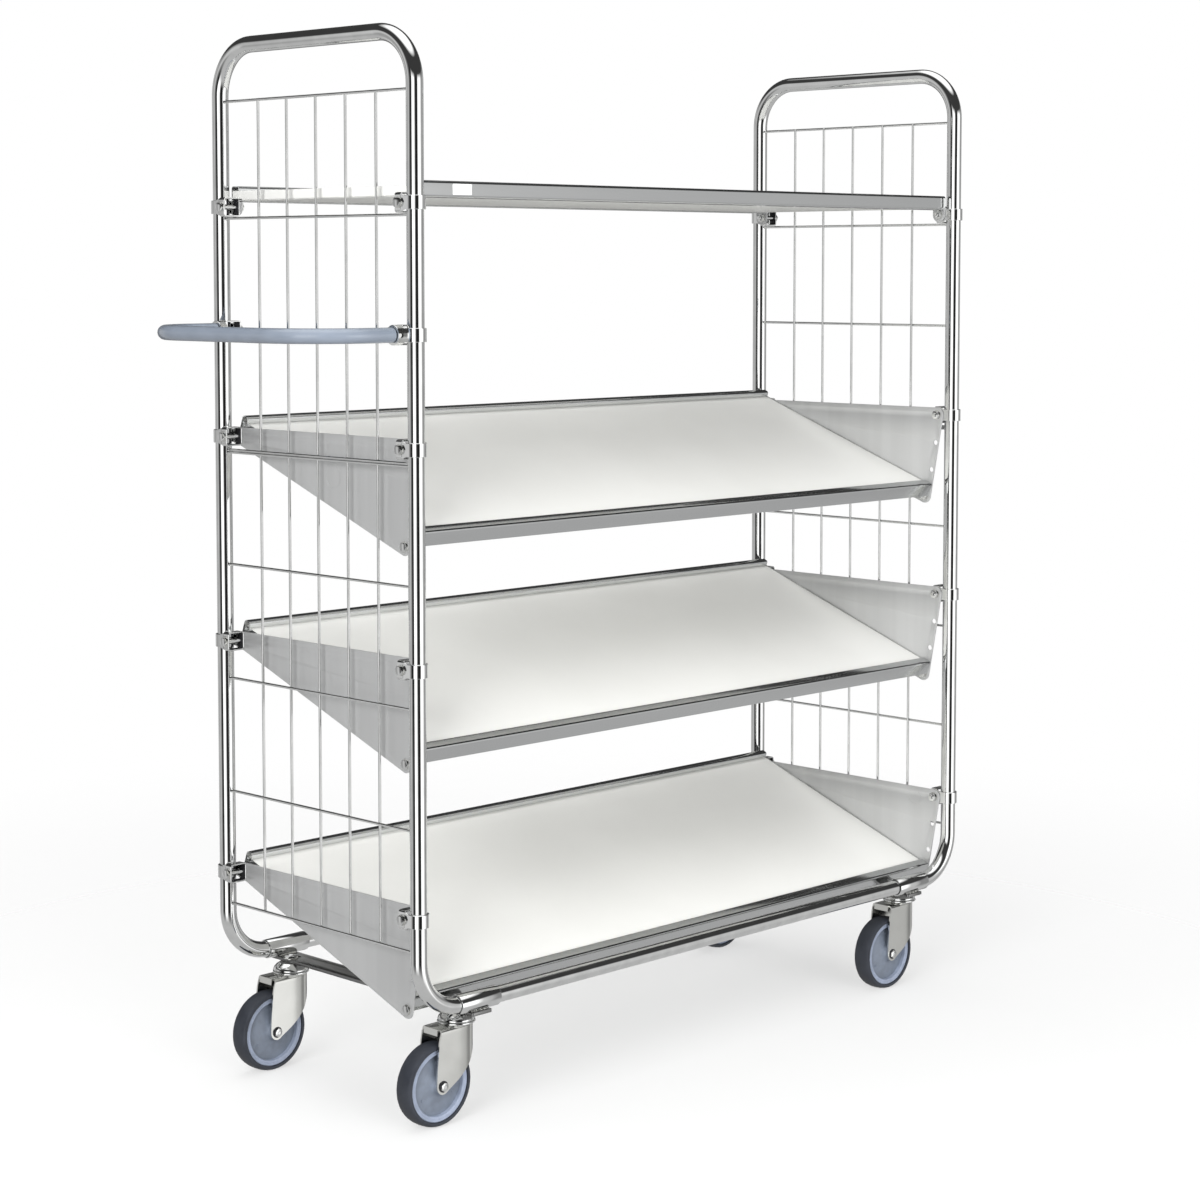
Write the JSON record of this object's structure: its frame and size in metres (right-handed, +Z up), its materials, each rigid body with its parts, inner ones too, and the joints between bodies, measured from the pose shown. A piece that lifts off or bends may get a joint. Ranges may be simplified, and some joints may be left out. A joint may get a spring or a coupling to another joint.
{
  "type": "book cart",
  "caption": "Wheeled shelf trolley for books: wire mesh end frames, a flat top shelf, tilting shelves below it, a push handle and swivel castors.",
  "frame": {"origin": "on the floor under the centre of the cart's overall box, handle included", "axes": "+Z up, +X along the cart away from the push handle, +Y from the open front towards the back"},
  "size_m": [1.4548, 0.4806, 1.608],
  "materials": {
    "bright_zinc": "bright zinc-plated steel",
    "galvanised": "matt galvanised sheet steel",
    "deck_white": "chipboard with a satin off-white melamine face",
    "grip_plastic": "glossy grey-blue sleeve",
    "hub_plastic": "moulded grey-blue plastic",
    "tyre_rubber": "dark grey solid rubber"
  },
  "bodies": {
    "root": {"end_frame_left": "bright_zinc", "wire_mesh_left": "bright_zinc", "end_frame_right": "bright_zinc", "wire_mesh_right": "bright_zinc", "base_rail_front": "bright_zinc", "base_rail_back": "bright_zinc", "base_crossbar_left": "bright_zinc", "base_crossbar_right": "bright_zinc", "clamp_top_left_front": "bright_zinc", "clamp_upper_left_front": "bright_zinc", "clamp_middle_left_front": "bright_zinc", "clamp_lower_left_front": "bright_zinc", "clamp_top_left_back": "bright_zinc", "clamp_upper_left_back": "bright_zinc", "clamp_middle_left_back": "bright_zinc", "clamp_lower_left_back": "bright_zinc", "clamp_top_right_front": "bright_zinc", "clamp_upper_right_front": "bright_zinc", "clamp_middle_right_front": "bright_zinc", "clamp_lower_right_front": "bright_zinc", "clamp_top_right_back": "bright_zinc", "clamp_upper_right_back": "bright_zinc", "clamp_middle_right_back": "bright_zinc", "clamp_lower_right_back": "bright_zinc", "handle_clamp_front": "bright_zinc", "handle_clamp_back": "bright_zinc", "push_handle": "bright_zinc", "handle_grip": "grip_plastic", "top_shelf_frame": "galvanised", "top_shelf_deck": "deck_white", "castor_head_left_front": "bright_zinc", "castor_head_left_back": "bright_zinc", "castor_head_right_front": "bright_zinc", "castor_head_right_back": "bright_zinc"},
    "upper_shelf": {"upper_shelf_frame": "galvanised", "upper_shelf_deck": "deck_white", "upper_shelf_plate_left": "galvanised", "upper_shelf_plate_right": "galvanised"},
    "middle_shelf": {"middle_shelf_frame": "galvanised", "middle_shelf_deck": "deck_white", "middle_shelf_plate_left": "galvanised", "middle_shelf_plate_right": "galvanised"},
    "lower_shelf": {"lower_shelf_frame": "galvanised", "lower_shelf_deck": "deck_white", "lower_shelf_plate_left": "galvanised", "lower_shelf_plate_right": "galvanised"},
    "castor_fork_left_front": {"castor_fork_left_front": "bright_zinc"},
    "castor_wheel_left_front": {"castor_hub_left_front": "hub_plastic", "castor_tyre_left_front": "tyre_rubber"},
    "castor_fork_left_back": {"castor_fork_left_back": "bright_zinc"},
    "castor_wheel_left_back": {"castor_hub_left_back": "hub_plastic", "castor_tyre_left_back": "tyre_rubber"},
    "castor_fork_right_front": {"castor_fork_right_front": "bright_zinc"},
    "castor_wheel_right_front": {"castor_hub_right_front": "hub_plastic", "castor_tyre_right_front": "tyre_rubber"},
    "castor_fork_right_back": {"castor_fork_right_back": "bright_zinc"},
    "castor_wheel_right_back": {"castor_hub_right_back": "hub_plastic", "castor_tyre_right_back": "tyre_rubber"}
  },
  "joints": [
    {"name": "upper_shelf_tilt", "type": "hinge", "parent": "root", "child": "upper_shelf", "pos_m": [0.0816, 0.206, 1.001], "axis": [-1, 0, 0], "range_deg": [0, 13.6]},
    {"name": "middle_shelf_tilt", "type": "hinge", "parent": "root", "child": "middle_shelf", "pos_m": [0.0816, 0.206, 0.684], "axis": [-1, 0, 0], "range_deg": [0, 13.6]},
    {"name": "lower_shelf_tilt", "type": "hinge", "parent": "root", "child": "lower_shelf", "pos_m": [0.0816, 0.206, 0.321], "axis": [-1, 0, 0], "range_deg": [0, 13.6]},
    {"name": "castor_swivel_left_front", "type": "hinge", "parent": "root", "child": "castor_fork_left_front", "pos_m": [-0.4444, -0.195, 0.151], "axis": [0, 0, 1], "continuous": true},
    {"name": "castor_roll_left_front", "type": "hinge", "parent": "castor_fork_left_front", "child": "castor_wheel_left_front", "pos_m": [-0.4894, -0.195, 0.0625], "axis": [0, 1, 0], "continuous": true},
    {"name": "castor_swivel_left_back", "type": "hinge", "parent": "root", "child": "castor_fork_left_back", "pos_m": [-0.4444, 0.195, 0.151], "axis": [0, 0, 1], "continuous": true},
    {"name": "castor_roll_left_back", "type": "hinge", "parent": "castor_fork_left_back", "child": "castor_wheel_left_back", "pos_m": [-0.4894, 0.195, 0.0625], "axis": [0, 1, 0], "continuous": true},
    {"name": "castor_swivel_right_front", "type": "hinge", "parent": "root", "child": "castor_fork_right_front", "pos_m": [0.6076, -0.195, 0.151], "axis": [0, 0, 1], "continuous": true},
    {"name": "castor_roll_right_front", "type": "hinge", "parent": "castor_fork_right_front", "child": "castor_wheel_right_front", "pos_m": [0.5626, -0.195, 0.0625], "axis": [0, 1, 0], "continuous": true},
    {"name": "castor_swivel_right_back", "type": "hinge", "parent": "root", "child": "castor_fork_right_back", "pos_m": [0.6076, 0.195, 0.151], "axis": [0, 0, 1], "continuous": true},
    {"name": "castor_roll_right_back", "type": "hinge", "parent": "castor_fork_right_back", "child": "castor_wheel_right_back", "pos_m": [0.5626, 0.195, 0.0625], "axis": [0, 1, 0], "continuous": true}
  ]
}
